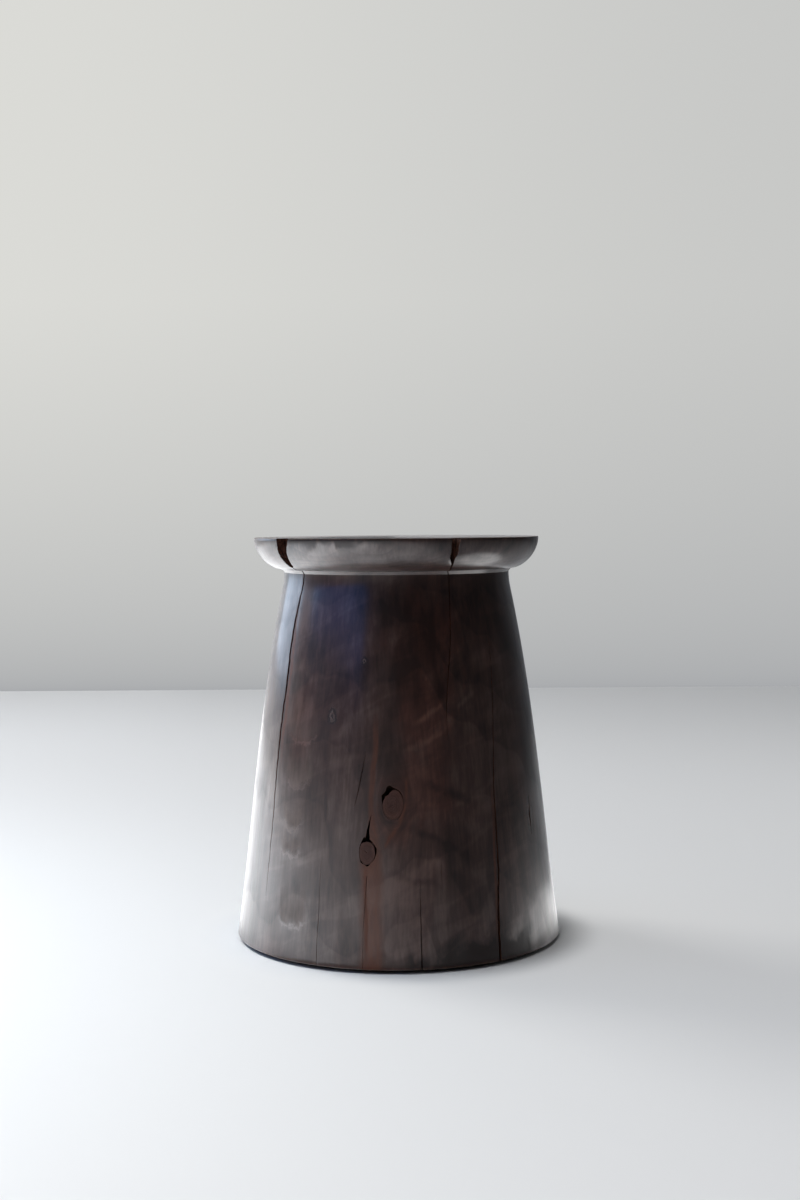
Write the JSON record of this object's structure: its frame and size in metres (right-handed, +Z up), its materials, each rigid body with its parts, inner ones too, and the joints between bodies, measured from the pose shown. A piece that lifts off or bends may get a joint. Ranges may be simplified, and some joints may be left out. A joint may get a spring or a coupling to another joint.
{
  "type": "stool",
  "caption": "Stool turned from one log: flared body, short coved neck and thick rounded rim, with open drying checks, encased knots and screwed-on glides.",
  "frame": {"origin": "on the floor, under the middle of the base", "axes": "+Z up along the turning axis, -Y towards the front, which shows the two encased knots"},
  "size_m": [0.3564, 0.3564, 0.44],
  "materials": {
    "stained_wood": "near-black stain under a satin lacquer",
    "knot_wood": "near-black stain under a satin lacquer, end grain",
    "nylon": "moulded, matt",
    "zinc_steel": "bright zinc plate"
  },
  "bodies": {
    "root": {"stool_body": "stained_wood", "upper_knot": "knot_wood", "lower_knot": "knot_wood", "glide_front_left": "nylon", "glide_front_right": "nylon", "glide_back_right": "nylon", "glide_back_left": "nylon", "glide_screw_front_left": "zinc_steel", "glide_screw_front_right": "zinc_steel", "glide_screw_back_right": "zinc_steel", "glide_screw_back_left": "zinc_steel"}
  },
  "joints": []
}
